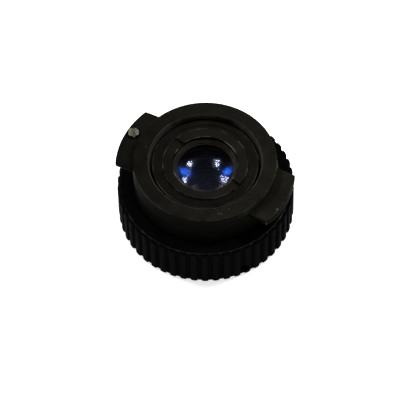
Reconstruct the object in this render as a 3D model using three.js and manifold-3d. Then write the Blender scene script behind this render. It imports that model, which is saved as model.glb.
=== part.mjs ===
// Bayonet-mount eyepiece of a surveying telescope, standing on its eye side.
// Millimetres, +Z up. The origin is on the optical axis, in the plane of the focusing ring's lower lip.
//
// The bayonet body is the fixed part. The focusing ring turns on its skirt, and a brass helicoid nut inside
// the ring drives the keyed lens barrel up and down.

import * as THREE from 'three';
import Module from 'manifold-3d';
import { mergeVertices } from 'three/addons/utils/BufferGeometryUtils.js';

const wasm = await Module();
wasm.setup();

// ---------------------------------------------------------------- driving dimensions

const HEIGHT = 17.4;                 // lower lip of the focusing ring to the spigot's face
const SPIGOT_RADIUS = 14.5;
const SPIGOT_HEIGHT = 1.8;           // the spigot stands this far above the wings
const BARREL_RADIUS = 14.7;
const BORE_RADIUS = 11.3;            // threaded mouth of the body
const MOUTH_CHAMFER = 0.3;
const MOUTH_THREAD_START = 0.4;      // below the spigot's face
const MOUTH_THREAD_TURNS = 3;
const MOUTH_THREAD_PITCH = 0.5;
const MOUTH_THREAD_DEPTH = 0.18;
const WING_RADIUS = 18.25;
const WING_THICKNESS = 2.0;
const RING_TOP = 9.8;                // upper face of the focusing ring
const RING_EDGE_RADIUS = 17.45;
const GRIP_RADIUS = 18.0;            // over the ribs
const RIB_COUNT = 50;
const RIB_PHASE = 1.9;              // angle of the first rib's crest, in degrees
const LENS_BARREL_RADIUS = 10.7;
const THREAD_RADIUS = 9.45;          // lens barrel's helical thread, major radius
const FIELD_APERTURE_RADIUS = 5.7;
const EYE_APERTURE_RADIUS = 4.9;

const SLIDE_GAP = 0.1;               // radial play of every running or screwed pair
const FIT_GAP = 0.05;                // radial play of pins and small screws in their holes
const CHAMFER = 0.25;
const ROUND = 48;                    // facets of the large turned pieces
const LENS_ROUND = 32;               // facets of the glass
const SMALL_ROUND = 16;              // facets of screws and pins
const WING_FACETS = 8;               // facets of a wing's outer edge

const WING_TOP = HEIGHT - SPIGOT_HEIGHT;
const WING_BOTTOM = WING_TOP - WING_THICKNESS;

// Two wings of different width, so that the eyepiece enters the telescope one way round only.
const WINGS = [
  { angle: 153.5, width: 14.0 },
  { angle: -29.0, width: 12.6 },
];
const WING_RAMP_LENGTH = 2.5;        // lead-in ramp under each end of a wing
const WING_RAMP_RISE = 0.8;
const WING_ROOT_RADIUS = BARREL_RADIUS - 2;  // the wing is let this far into the barrel

// Skirt of the body, inside the focusing ring.
const SKIRT_BOTTOM = 3.3;
const SKIRT_THREAD_RADIUS = 13.4;
const SKIRT_THREAD_TOP = 4.7;
const JOURNAL_RADIUS = 14.0;
const SHOULDER = 7.4;                // the focusing ring stops against this step
const RELIEF_RADIUS = 11.6;
const RELIEF_TOP = 8.6;
const GUIDE_TOP = 14.6;              // the lens barrel slides in the bore below this step

// Keeper ring and friction washer under the focusing ring's ledge.
const KEEPER_RADIUS = 14.95;
const KEEPER_BOTTOM = SKIRT_BOTTOM + 0.1;
const KEEPER_TOP = SKIRT_THREAD_TOP - 0.05;
const WASHER_TOP = 5.05;

// Turning limit: a pin in the focusing ring runs in an arc groove of the skirt.
const TRAVEL_HALF_ANGLE = 150;
const STOP_PIN_RADIUS = 0.5;
const STOP_PIN_END_GAP = 0.2;
const STOP_PIN_ANGLE = 90;
const STOP_HEIGHT = 6.2;
const STOP_GROOVE_RADIUS = 13.1;
const STOP_GROOVE_HALF_HEIGHT = 0.55;
const STOP_GROOVE_SPARE_ANGLE = 0.5;

// Focusing ring.
const RING_LAND_RADIUS = BARREL_RADIUS + 0.15;
const GRIP_SEAT_RADIUS = 16.7;
const UPPER_LIP = 0.4;               // the ribs lie between the ring's two lips
const LOWER_LIP = 0.3;
const POCKET_RADIUS = 15.2;
const LEDGE_BOTTOM = 5.1;
const LEDGE_TOP = SHOULDER - SLIDE_GAP;
const SEAL_GROOVE_RADIUS = 15.6;
const SEAL_BOTTOM = 8.2;
const SEAL_TOP = 9.2;

// One rib of the grip from flute to flute: [share of the rib's pitch, depth below the ribs' crest].
const FLUTE_DEPTH = GRIP_RADIUS - RING_EDGE_RADIUS;
const RIB_PROFILE = [
  [-0.5, FLUTE_DEPTH],
  [-0.37, FLUTE_DEPTH],
  [-0.26, 0.07],
  [0, 0],
  [0.26, 0.07],
  [0.37, FLUTE_DEPTH],
];
const RIB_END_GAP = 0.05;

// Radial set screws that lock the ring to the helicoid nut.
const GRUB_ANGLES = [-65, 55, 175];
const GRUB_HEIGHT = 2.2;
const GRUB_RADIUS = 0.75;
const GRUB_ACCESS_RADIUS = 0.95;
const GRUB_SLOT = { width: 0.3, depth: 0.4 };

// Helicoid nut.
const NUT_DISC_BOTTOM = 1.3;
const NUT_DISC_TOP = 3.1;
const NUT_HUB_TOP = 8.2;
const NUT_HUB_RADIUS = 11.2;

// Lens barrel, given at the middle of its travel.
const LENS_BARREL_TOP = 16.36;
const LENS_BARREL_SHOULDER = 9.3;
const LENS_BARREL_BOTTOM = 2.2;
const FIELD_BORE_RADIUS = 7.6;
const FIELD_BORE_BOTTOM = 7.5;
const EYE_BORE_RADIUS = 6.0;
const EYE_SEAT = 3.3;
const BEZEL_THREAD_RADIUS = 8.5;
const BEZEL_THREAD_TOP = 3.6;
const RING_THREAD_RADIUS = 8.75;
const RING_THREAD_BOTTOM = 15.65;

const REBATE_RADIUS = 9.6;           // shallow step in the barrel's upper face
const REBATE_DEPTH = 0.14;

// Retaining ring and clamp ring of the field lens.
const RETAINING_RING_BORE = 6.56;
const RETAINING_RING_TOP = LENS_BARREL_TOP + 0.09;
const RETAINING_RING_CHAMFER = 0.15;
const SPANNER_SLOT_ANGLE = 137;
const SPANNER_SLOT_WIDTH = 1.7;
const SPANNER_SLOT_DEPTH = 0.45;
const RING_REST_GAP = 0.025;         // above and below the seat between the two rings
const LENS_SEAT_GAP = 0.1;

// Glass, from the field side down to the eye side. Each doublet has a thin cement gap.
const CEMENT = 0.05;
const FIELD_GLASS_RADIUS = 7.3;
const FIELD_CROWN_RADIUS = 7.2;
const FIELD_FRONT = { vertex: 14.9, curvature: 14 };
const FIELD_CEMENTED = { vertex: 13.3, curvature: 15 };
const FIELD_BACK = { vertex: 9.0, curvature: 13 };
const EYE_GLASS_RADIUS = 5.8;
const EYE_FRONT = { vertex: 7.7, curvature: 14 };
const EYE_CEMENTED = { vertex: 4.3, curvature: 10 };
const EYE_BACK_HEIGHT = EYE_SEAT + 0.05;

// Spacer between the doublets.
const SPACER_BORE = 5.2;
const SPACER_BEVEL_RADIUS = 6.3;
const SPACER_EYE_SEAT = [6.8, 6.6];          // heights at the bore and at the edge, on the eye lens
const SPACER_FIELD_SEAT = [7.9, 10.5, 11.1];  // heights at the bore, the bevel and the edge

// Cap round the eye lens.
const BEZEL_RADIUS = 9.3;
const BEZEL_MOUTH_RADIUS = 8.8;
const BEZEL_BOTTOM = 1.0;
const BEZEL_RIM_TOP = BEZEL_THREAD_TOP - 0.3;
const BEZEL_WEB_TOP = LENS_BARREL_BOTTOM - 0.1;
const BEZEL_WEB_THICKNESS = 0.25;

// Key screw that stops the lens barrel from turning.
const KEY_ANGLE = 90;
const KEY_HEIGHT = 11.7;
const KEY_BODY_RADIUS = 1.0;
const KEY_TIP_RADIUS = 0.6;
const KEY_OUTER = BARREL_RADIUS - 0.3;
const KEY_SHOULDER = LENS_BARREL_RADIUS + 0.4;
const KEY_INNER = LENS_BARREL_RADIUS - 0.5;
const KEY_SLOT = { width: 0.35, depth: 0.45 };
const KEYWAY_WIDTH = 1.4;
const KEYWAY_DEPTH = 0.7;
const KEYWAY_HALF_LENGTH = 1.4;

// Stop screw in the wider wing.
const STOP_SCREW_ANGLE = 150;
const STOP_SCREW_CENTRE = 16.65;
const STOP_SCREW_HEAD_RADIUS = 1.12;
const STOP_SCREW_SHANK_RADIUS = 0.75;
const STOP_SCREW_HEAD_BOTTOM = WING_TOP + 0.02;
const STOP_SCREW_HEAD_HEIGHT = 0.6;
const STOP_SCREW_EDGE = 0.2;
const STOP_SCREW_BOTTOM = WING_BOTTOM + 0.2;
const STOP_SCREW_SLOT = { angle: 95, width: 0.4, depth: 0.35 };

const THROUGH = 1;                   // cutting tools reach this far beyond what they cut
const SLOT_LENGTH = 4;               // longer than any screw head is wide

// ---------------------------------------------------------------- materials

const finish = (color, roughness, metalness) =>
  new THREE.MeshStandardMaterial({ color, roughness, metalness });

const BLACK_ANODISED = () => finish(0x23221f, 0.5, 0.6);
const BLACK_MATT = () => finish(0x141413, 0.75, 0.4);
const BLACK_RUBBER = () => finish(0x161817, 0.7, 0.0);
const BARE_STEEL = () => finish(0xb9b4a4, 0.3, 1.0);
const BRASS = () => finish(0xb08d4c, 0.4, 1.0);
const FELT = () => finish(0x2b2a28, 1.0, 0.0);
const COATED_GLASS = () => finish(0x27406e, 0.05, 0.0);
const CLEAR_GLASS = () => finish(0xdfe6ea, 0.05, 0.0);

// ---------------------------------------------------------------- geometry helpers

const radians = (degrees) => (degrees * Math.PI) / 180;

// A closed outline of [radius, height] pairs, turned about the Z axis.
function turned(outline) {
  let area = 0;
  outline.forEach(([r, z], i) => {
    const [nextR, nextZ] = outline[(i + 1) % outline.length];
    area += r * nextZ - nextR * z;
  });
  const ordered = area > 0 ? [...outline] : [...outline].reverse();
  const points = [...ordered, ordered[0]].map(([r, z]) => new THREE.Vector2(r, z));
  return new THREE.LatheGeometry(points, ROUND).rotateX(Math.PI / 2);
}

const plainRing = (inner, outer, bottom, top) =>
  turned([[inner, bottom], [outer, bottom], [outer, top], [inner, top]]);

function toSolid(geometry) {
  const bare = geometry.clone();
  bare.deleteAttribute('normal');
  bare.deleteAttribute('uv');
  const merged = mergeVertices(bare, 1e-4);
  return new wasm.Manifold(new wasm.Mesh({
    numProp: 3,
    vertProperties: new Float32Array(merged.attributes.position.array),
    triVerts: new Uint32Array(merged.index.array),
  }));
}

function toGeometry(solid) {
  const mesh = solid.getMesh();
  const geometry = new THREE.BufferGeometry();
  geometry.setAttribute('position', new THREE.BufferAttribute(new Float32Array(mesh.vertProperties), 3));
  geometry.setIndex(new THREE.BufferAttribute(new Uint32Array(mesh.triVerts), 1));
  geometry.computeVertexNormals();
  return geometry;
}

const subtractAll = (solid, tools) => tools.reduce((body, tool) => body.subtract(toSolid(tool)), solid);

const cut = (geometry, ...tools) => toGeometry(subtractAll(toSolid(geometry), tools));

// A round bar along a radius, between two distances from the axis.
function radialBar(radius, inner, outer, angle, height) {
  return new THREE.CylinderGeometry(radius, radius, outer - inner, SMALL_ROUND)
    .rotateZ(-Math.PI / 2)
    .translate((inner + outer) / 2, 0, height)
    .rotateZ(radians(angle));
}

function uprightBar(radius, bottom, top, x, y) {
  return new THREE.CylinderGeometry(radius, radius, top - bottom, SMALL_ROUND)
    .rotateX(Math.PI / 2)
    .translate(x, y, (bottom + top) / 2);
}

function box(length, width, height, x, y, z, angle = 0) {
  return new THREE.BoxGeometry(length, width, height).translate(x, y, z).rotateZ(radians(angle));
}

// Screwdriver slot across the outer end of a screw that lies along +X.
const driverSlot = ({ width, depth }, outer) => box(2 * depth, width, SLOT_LENGTH, outer, 0, 0);

// An arc-shaped bar of rectangular section, from one angle to another.
function arcBar(inner, outer, bottom, top, fromAngle, toAngle) {
  const shape = new THREE.Shape();
  shape.absarc(0, 0, outer, radians(fromAngle), radians(toAngle), false);
  shape.absarc(0, 0, inner, radians(toAngle), radians(fromAngle), true);
  return new THREE.ExtrudeGeometry(shape, { depth: top - bottom, bevelEnabled: false, curveSegments: ROUND })
    .translate(0, 0, bottom);
}

// Height of a spherical surface below its top, at radius r.
const sag = (curvature, r) => curvature - Math.sqrt(curvature * curvature - r * r);

// Points of a spherical surface from the axis out to the rim; direction +1 is a dome, -1 a bowl.
function sphericalPoints(vertex, curvature, rim, direction) {
  const steps = 3;                   // facets from the axis to the rim
  return Array.from({ length: steps + 1 }, (_, i) => {
    const r = (rim * i) / steps;
    return new THREE.Vector2(r, vertex - direction * sag(curvature, r));
  });
}

// A lens with its lower surface, its edge and its upper surface, turned about the Z axis.
function lens(lower, upper) {
  const points = [...lower, ...upper.reverse()];
  return new THREE.LatheGeometry(points, LENS_ROUND).rotateX(Math.PI / 2);
}

function node(name, geometry, material) {
  const mesh = new THREE.Mesh(geometry, material);
  mesh.name = name;
  return mesh;
}

// ---------------------------------------------------------------- bayonet body

function wing({ angle, width }) {
  const half = width / 2;
  const corner = Math.asin(half / WING_RADIUS);
  const plan = new THREE.Shape();
  plan.moveTo(WING_ROOT_RADIUS, half);
  plan.lineTo(WING_ROOT_RADIUS, -half);
  plan.absarc(0, 0, WING_RADIUS, -corner, corner, false);
  const plate = new THREE.ExtrudeGeometry(plan,
    { depth: WING_THICKNESS, bevelEnabled: false, curveSegments: WING_FACETS })
    .translate(0, 0, WING_BOTTOM);

  // Seen along the radius, the plate's underside rises to a thin edge at both ends.
  const rampTop = WING_BOTTOM + WING_RAMP_RISE;
  const end = half + THROUGH;
  const flat = half - WING_RAMP_LENGTH;
  const side = new THREE.Shape([
    [-end, WING_TOP + THROUGH],
    [-end, rampTop],
    [-half, rampTop],
    [-flat, WING_BOTTOM],
    [flat, WING_BOTTOM],
    [half, rampTop],
    [end, rampTop],
    [end, WING_TOP + THROUGH],
  ].map(([along, z]) => new THREE.Vector2(along, z)));
  const ramped = new THREE.ExtrudeGeometry(side, { depth: WING_RADIUS + THROUGH, bevelEnabled: false })
    .rotateX(Math.PI / 2)
    .rotateZ(Math.PI / 2);
  return toSolid(plate).intersect(toSolid(ramped)).rotate([0, 0, angle]);
}

function bayonetBody() {
  const thread = Array.from({ length: MOUTH_THREAD_TURNS }, (_, turn) => {
    const z = HEIGHT - MOUTH_THREAD_START - turn * MOUTH_THREAD_PITCH;
    return [[BORE_RADIUS, z], [BORE_RADIUS + MOUTH_THREAD_DEPTH, z - MOUTH_THREAD_PITCH / 2]];
  }).flat();
  const outline = [
    [RELIEF_RADIUS, SKIRT_BOTTOM],
    [SKIRT_THREAD_RADIUS, SKIRT_BOTTOM],
    [SKIRT_THREAD_RADIUS, SKIRT_THREAD_TOP],
    [JOURNAL_RADIUS, SKIRT_THREAD_TOP],
    [JOURNAL_RADIUS, SHOULDER],
    [BARREL_RADIUS, SHOULDER],
    [BARREL_RADIUS, WING_TOP],
    [SPIGOT_RADIUS, WING_TOP],
    [SPIGOT_RADIUS, HEIGHT - CHAMFER],
    [SPIGOT_RADIUS - CHAMFER, HEIGHT],
    [BORE_RADIUS + MOUTH_CHAMFER, HEIGHT],
    ...thread,
    [BORE_RADIUS, GUIDE_TOP],
    [LENS_BARREL_RADIUS + SLIDE_GAP, GUIDE_TOP],
    [LENS_BARREL_RADIUS + SLIDE_GAP, RELIEF_TOP],
    [RELIEF_RADIUS, RELIEF_TOP],
  ];
  const turnedBody = toSolid(turned(outline));
  const withWings = WINGS.reduce((body, item) => body.add(wing(item)), turnedBody);

  const pinAngle = (STOP_PIN_RADIUS / STOP_GROOVE_RADIUS) * (180 / Math.PI);
  const grooveReach = TRAVEL_HALF_ANGLE + pinAngle + STOP_GROOVE_SPARE_ANGLE;
  const stopGroove = arcBar(STOP_GROOVE_RADIUS, JOURNAL_RADIUS + THROUGH,
    STOP_HEIGHT - STOP_GROOVE_HALF_HEIGHT, STOP_HEIGHT + STOP_GROOVE_HALF_HEIGHT,
    STOP_PIN_ANGLE - grooveReach, STOP_PIN_ANGLE + grooveReach);
  const keyHole = radialBar(KEY_BODY_RADIUS + FIT_GAP, LENS_BARREL_RADIUS - THROUGH,
    BARREL_RADIUS + THROUGH, KEY_ANGLE, KEY_HEIGHT);
  const stopScrewHole = uprightBar(STOP_SCREW_SHANK_RADIUS + SLIDE_GAP, WING_BOTTOM - THROUGH,
    WING_TOP + THROUGH, ...stopScrewPlace());
  return toGeometry(subtractAll(withWings, [stopGroove, keyHole, stopScrewHole]));
}

function stopScrewPlace() {
  const angle = radians(STOP_SCREW_ANGLE);
  return [STOP_SCREW_CENTRE * Math.cos(angle), STOP_SCREW_CENTRE * Math.sin(angle)];
}

// Cheese-head screw with a straight slot; its head stands proud of the wing.
function stopScrew() {
  const headTop = STOP_SCREW_HEAD_BOTTOM + STOP_SCREW_HEAD_HEIGHT;
  const outline = [
    [0, STOP_SCREW_BOTTOM],
    [STOP_SCREW_SHANK_RADIUS, STOP_SCREW_BOTTOM],
    [STOP_SCREW_SHANK_RADIUS, STOP_SCREW_HEAD_BOTTOM],
    [STOP_SCREW_HEAD_RADIUS, STOP_SCREW_HEAD_BOTTOM],
    [STOP_SCREW_HEAD_RADIUS, headTop - STOP_SCREW_EDGE],
    [STOP_SCREW_HEAD_RADIUS - STOP_SCREW_EDGE, headTop],
    [0, headTop],
  ].map(([r, z]) => new THREE.Vector2(r, z));
  const blank = new THREE.LatheGeometry(outline, SMALL_ROUND).rotateX(Math.PI / 2);
  const { angle, width, depth } = STOP_SCREW_SLOT;
  return cut(blank, box(SLOT_LENGTH, width, 2 * depth, 0, 0, headTop, angle))
    .translate(...stopScrewPlace(), 0);
}

// Dog-point set screw: its tip runs in the lens barrel's keyway.
function keyScrew() {
  const body = toSolid(radialBar(KEY_BODY_RADIUS, KEY_SHOULDER, KEY_OUTER, 0, 0));
  const tip = toSolid(radialBar(KEY_TIP_RADIUS, KEY_INNER, KEY_SHOULDER + THROUGH, 0, 0));
  return toGeometry(subtractAll(body.add(tip), [driverSlot(KEY_SLOT, KEY_OUTER)]))
    .rotateZ(radians(KEY_ANGLE))
    .translate(0, 0, KEY_HEIGHT);
}

// Threaded ring below the focusing ring's ledge, and the washer between them.
const keeperRing = () =>
  plainRing(SKIRT_THREAD_RADIUS + SLIDE_GAP, KEEPER_RADIUS, KEEPER_BOTTOM, KEEPER_TOP);

const frictionWasher = () =>
  plainRing(JOURNAL_RADIUS + SLIDE_GAP, KEEPER_RADIUS, SKIRT_THREAD_TOP, WASHER_TOP);

// ---------------------------------------------------------------- focusing ring

function focusRing() {
  const outline = [
    [POCKET_RADIUS + CHAMFER, 0],
    [RING_EDGE_RADIUS - CHAMFER, 0],
    [RING_EDGE_RADIUS, CHAMFER],
    [RING_EDGE_RADIUS, LOWER_LIP],
    [GRIP_SEAT_RADIUS, LOWER_LIP],
    [GRIP_SEAT_RADIUS, RING_TOP - UPPER_LIP],
    [RING_EDGE_RADIUS, RING_TOP - UPPER_LIP],
    [RING_EDGE_RADIUS, RING_TOP - CHAMFER],
    [RING_EDGE_RADIUS - CHAMFER, RING_TOP],
    [RING_LAND_RADIUS, RING_TOP],
    [RING_LAND_RADIUS, SEAL_TOP],
    [SEAL_GROOVE_RADIUS, SEAL_TOP],
    [SEAL_GROOVE_RADIUS, SEAL_BOTTOM],
    [RING_LAND_RADIUS, SEAL_BOTTOM],
    [RING_LAND_RADIUS, LEDGE_TOP],
    [JOURNAL_RADIUS + SLIDE_GAP, LEDGE_TOP],
    [JOURNAL_RADIUS + SLIDE_GAP, LEDGE_BOTTOM],
    [POCKET_RADIUS, LEDGE_BOTTOM],
    [POCKET_RADIUS, CHAMFER],
  ];
  const grubHoles = GRUB_ANGLES.map((angle) =>
    radialBar(GRUB_RADIUS + FIT_GAP, POCKET_RADIUS - THROUGH, GRIP_SEAT_RADIUS + THROUGH,
      angle, GRUB_HEIGHT));
  const pinHole = radialBar(STOP_PIN_RADIUS + FIT_GAP, JOURNAL_RADIUS - THROUGH,
    GRIP_SEAT_RADIUS + THROUGH, STOP_PIN_ANGLE, STOP_HEIGHT);
  return cut(turned(outline), ...grubHoles, pinHole);
}

// Ribbed sleeve: rounded ribs with flat-bottomed flutes between them.
function gripSleeve() {
  const bottom = LOWER_LIP + RIB_END_GAP;
  const top = RING_TOP - UPPER_LIP - RIB_END_GAP;
  const crestLine = Array.from({ length: RIB_COUNT }, (_, rib) =>
    RIB_PROFILE.map(([share, depth]) => {
      const angle = ((rib + share) * 2 * Math.PI) / RIB_COUNT + radians(RIB_PHASE);
      return new THREE.Vector2(Math.cos(angle), Math.sin(angle)).multiplyScalar(GRIP_RADIUS - depth);
    })).flat();
  const section = new THREE.Shape(crestLine);
  const bore = new THREE.Path();
  bore.absarc(0, 0, GRIP_SEAT_RADIUS + SLIDE_GAP, 0, 2 * Math.PI, true);
  section.holes.push(bore);
  const blank = new THREE.ExtrudeGeometry(section,
    { depth: top - bottom, bevelEnabled: false, curveSegments: ROUND / 2 })
    .translate(0, 0, bottom);
  const accessHoles = GRUB_ANGLES.map((angle) =>
    radialBar(GRUB_ACCESS_RADIUS, GRIP_SEAT_RADIUS - THROUGH, GRIP_RADIUS + THROUGH, angle, GRUB_HEIGHT));
  return cut(blank, ...accessHoles);
}

function grubScrew(angle) {
  const outer = GRIP_SEAT_RADIUS - FIT_GAP;
  const blank = radialBar(GRUB_RADIUS, POCKET_RADIUS - FIT_GAP, outer, 0, 0);
  return cut(blank, driverSlot(GRUB_SLOT, outer))
    .rotateZ(radians(angle))
    .translate(0, 0, GRUB_HEIGHT);
}

// Brass nut: its disc is locked in the focusing ring and its hub carries the helical thread.
function helicoidNut() {
  const bore = THREAD_RADIUS + SLIDE_GAP;
  return turned([
    [bore, NUT_DISC_BOTTOM],
    [POCKET_RADIUS - SLIDE_GAP, NUT_DISC_BOTTOM],
    [POCKET_RADIUS - SLIDE_GAP, NUT_DISC_TOP],
    [NUT_HUB_RADIUS, NUT_DISC_TOP],
    [NUT_HUB_RADIUS, NUT_HUB_TOP],
    [bore, NUT_HUB_TOP],
  ]);
}

const feltSeal = () =>
  plainRing(BARREL_RADIUS + SLIDE_GAP, SEAL_GROOVE_RADIUS - SLIDE_GAP, SEAL_BOTTOM + SLIDE_GAP,
    SEAL_TOP - SLIDE_GAP);

const travelStopPin = () =>
  radialBar(STOP_PIN_RADIUS, STOP_GROOVE_RADIUS + STOP_PIN_END_GAP, GRIP_SEAT_RADIUS - STOP_PIN_END_GAP,
    STOP_PIN_ANGLE, STOP_HEIGHT);

// ---------------------------------------------------------------- lens barrel

function lensBarrel() {
  const outline = [
    [EYE_APERTURE_RADIUS, LENS_BARREL_BOTTOM],
    [BEZEL_THREAD_RADIUS, LENS_BARREL_BOTTOM],
    [BEZEL_THREAD_RADIUS, BEZEL_THREAD_TOP],
    [THREAD_RADIUS, BEZEL_THREAD_TOP],
    [THREAD_RADIUS, LENS_BARREL_SHOULDER],
    [LENS_BARREL_RADIUS, LENS_BARREL_SHOULDER],
    [LENS_BARREL_RADIUS, LENS_BARREL_TOP - CHAMFER],
    [LENS_BARREL_RADIUS - CHAMFER, LENS_BARREL_TOP],
    [REBATE_RADIUS, LENS_BARREL_TOP],
    [REBATE_RADIUS, LENS_BARREL_TOP - REBATE_DEPTH],
    [RING_THREAD_RADIUS, LENS_BARREL_TOP - REBATE_DEPTH],
    [RING_THREAD_RADIUS, RING_THREAD_BOTTOM],
    [FIELD_BORE_RADIUS, RING_THREAD_BOTTOM],
    [FIELD_BORE_RADIUS, FIELD_BORE_BOTTOM],
    [EYE_BORE_RADIUS, FIELD_BORE_BOTTOM],
    [EYE_BORE_RADIUS, EYE_SEAT],
    [EYE_APERTURE_RADIUS, EYE_SEAT],
  ];
  const keyway = box(2 * KEYWAY_DEPTH, KEYWAY_WIDTH, 2 * KEYWAY_HALF_LENGTH, LENS_BARREL_RADIUS, 0,
    KEY_HEIGHT, KEY_ANGLE);
  return cut(turned(outline), keyway);
}

// Threaded ring with two spanner slots.
function fieldRetainingRing() {
  const outer = RING_THREAD_RADIUS - SLIDE_GAP;
  const bottom = RING_THREAD_BOTTOM + RING_REST_GAP;
  const blank = turned([
    [RETAINING_RING_BORE, bottom],
    [outer, bottom],
    [outer, RETAINING_RING_TOP],
    [RETAINING_RING_BORE + RETAINING_RING_CHAMFER, RETAINING_RING_TOP],
    [RETAINING_RING_BORE, RETAINING_RING_TOP - RETAINING_RING_CHAMFER],
  ]);
  const slots = box(2 * (outer + THROUGH), SPANNER_SLOT_WIDTH, 2 * SPANNER_SLOT_DEPTH, 0, 0,
    RETAINING_RING_TOP, SPANNER_SLOT_ANGLE);
  return cut(blank, slots);
}

const dome = ({ vertex, curvature }, rim, shift = 0) => sphericalPoints(vertex + shift, curvature, rim, 1);
const bowl = ({ vertex, curvature }, rim, shift = 0) => sphericalPoints(vertex + shift, curvature, rim, -1);

const fieldFlint = () =>
  lens(dome(FIELD_CEMENTED, FIELD_GLASS_RADIUS, CEMENT), dome(FIELD_FRONT, FIELD_GLASS_RADIUS));

const fieldCrown = () =>
  lens(bowl(FIELD_BACK, FIELD_CROWN_RADIUS), dome(FIELD_CEMENTED, FIELD_CROWN_RADIUS));

const eyeCrown = () =>
  lens(bowl(EYE_CEMENTED, EYE_GLASS_RADIUS), dome(EYE_FRONT, EYE_GLASS_RADIUS));

const eyeFlint = () =>
  lens(
    [new THREE.Vector2(0, EYE_BACK_HEIGHT), new THREE.Vector2(EYE_GLASS_RADIUS, EYE_BACK_HEIGHT)],
    bowl(EYE_CEMENTED, EYE_GLASS_RADIUS, -CEMENT),
  );

// Ring under the retaining ring: its top is the ledge round the field lens.
function fieldClampRing() {
  const outer = FIELD_BORE_RADIUS - SLIDE_GAP;
  const top = RING_THREAD_BOTTOM - RING_REST_GAP;
  const seatAt = (r) => FIELD_FRONT.vertex - sag(FIELD_FRONT.curvature, r) + LENS_SEAT_GAP;
  return turned([
    [FIELD_APERTURE_RADIUS, seatAt(FIELD_APERTURE_RADIUS)],
    [outer, seatAt(FIELD_GLASS_RADIUS)],
    [outer, top],
    [FIELD_APERTURE_RADIUS, top],
  ]);
}

// Spacer between the doublets, bevelled to seat on both.
function lensSpacer() {
  const noseOuter = EYE_BORE_RADIUS - SLIDE_GAP;
  const flangeOuter = FIELD_BORE_RADIUS - SLIDE_GAP;
  const flangeBottom = FIELD_BORE_BOTTOM + SLIDE_GAP;
  const [boreBottom, noseBottom] = SPACER_EYE_SEAT;
  const [boreTop, bevelTop, flangeTop] = SPACER_FIELD_SEAT;
  return turned([
    [SPACER_BORE, boreBottom],
    [noseOuter, noseBottom],
    [noseOuter, flangeBottom],
    [flangeOuter, flangeBottom],
    [flangeOuter, flangeTop],
    [SPACER_BEVEL_RADIUS, bevelTop],
    [SPACER_BORE, boreTop],
  ]);
}

// Dished cap round the eye lens.
function eyeBezel() {
  return turned([
    [BEZEL_MOUTH_RADIUS, BEZEL_BOTTOM],
    [BEZEL_RADIUS, BEZEL_BOTTOM],
    [BEZEL_RADIUS, BEZEL_RIM_TOP],
    [BEZEL_THREAD_RADIUS + SLIDE_GAP, BEZEL_RIM_TOP],
    [BEZEL_THREAD_RADIUS + SLIDE_GAP, BEZEL_WEB_TOP],
    [EYE_APERTURE_RADIUS, BEZEL_WEB_TOP],
    [EYE_APERTURE_RADIUS, BEZEL_WEB_TOP - BEZEL_WEB_THICKNESS],
  ]);
}

// ---------------------------------------------------------------- assembly

function fixedParts() {
  const group = new THREE.Group();
  group.add(
    node('bayonet_body', bayonetBody(), BLACK_ANODISED()),
    node('stop_screw', stopScrew(), BARE_STEEL()),
    node('key_screw', keyScrew(), BARE_STEEL()),
    node('keeper_ring', keeperRing(), BLACK_MATT()),
    node('friction_washer', frictionWasher(), BARE_STEEL()),
  );
  return group;
}

function turningParts() {
  const group = new THREE.Group();
  group.add(
    node('focus_ring', focusRing(), BLACK_ANODISED()),
    node('grip_sleeve', gripSleeve(), BLACK_RUBBER()),
    node('helicoid_nut', helicoidNut(), BRASS()),
    node('felt_seal', feltSeal(), FELT()),
    node('travel_stop_pin', travelStopPin(), BARE_STEEL()),
  );
  GRUB_ANGLES.forEach((angle, i) => {
    group.add(node(`grub_screw_${i + 1}`, grubScrew(angle), BARE_STEEL()));
  });
  return group;
}

function slidingParts() {
  const group = new THREE.Group();
  group.add(
    node('lens_barrel', lensBarrel(), BLACK_ANODISED()),
    node('field_retaining_ring', fieldRetainingRing(), BLACK_ANODISED()),
    node('field_clamp_ring', fieldClampRing(), BLACK_MATT()),
    node('field_flint', fieldFlint(), COATED_GLASS()),
    node('field_crown', fieldCrown(), CLEAR_GLASS()),
    node('lens_spacer', lensSpacer(), BLACK_MATT()),
    node('eye_crown', eyeCrown(), CLEAR_GLASS()),
    node('eye_flint', eyeFlint(), COATED_GLASS()),
    node('eye_bezel', eyeBezel(), BLACK_ANODISED()),
  );
  return group;
}

const eyepiece = new THREE.Group();
eyepiece.add(fixedParts(), turningParts(), slidingParts());

export default eyepiece;
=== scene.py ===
"""Looks of a surveying telescope's bayonet eyepiece.

Every piece is modelled in millimetres in the object's own axes, with +Z along the optical axis from the eye
to the telescope, and scaled to metres when its mesh is made. Heights and outer radii come from the boxes
of the model's nodes. The other sizes are the named values below.
"""
from math import cos, degrees, pi, radians, sin, sqrt

import bmesh
import bpy
from mathutils import Matrix, Vector


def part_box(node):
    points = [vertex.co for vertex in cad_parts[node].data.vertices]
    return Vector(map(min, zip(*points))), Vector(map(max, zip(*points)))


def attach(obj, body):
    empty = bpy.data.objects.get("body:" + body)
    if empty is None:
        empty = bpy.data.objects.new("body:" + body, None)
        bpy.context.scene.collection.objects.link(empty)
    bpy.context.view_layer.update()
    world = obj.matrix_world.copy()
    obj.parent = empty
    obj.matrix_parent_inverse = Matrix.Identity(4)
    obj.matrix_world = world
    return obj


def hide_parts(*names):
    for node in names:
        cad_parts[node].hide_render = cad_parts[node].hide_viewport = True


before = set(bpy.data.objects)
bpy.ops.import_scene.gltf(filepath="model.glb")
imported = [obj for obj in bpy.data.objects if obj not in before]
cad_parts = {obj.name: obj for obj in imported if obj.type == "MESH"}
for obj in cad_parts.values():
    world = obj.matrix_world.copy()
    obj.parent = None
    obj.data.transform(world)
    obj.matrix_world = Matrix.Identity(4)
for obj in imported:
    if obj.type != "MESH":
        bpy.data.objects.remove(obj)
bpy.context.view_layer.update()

MM = 0.001
TURN = 2 * pi
FINE = 288          # facets round a large turned piece
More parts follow.
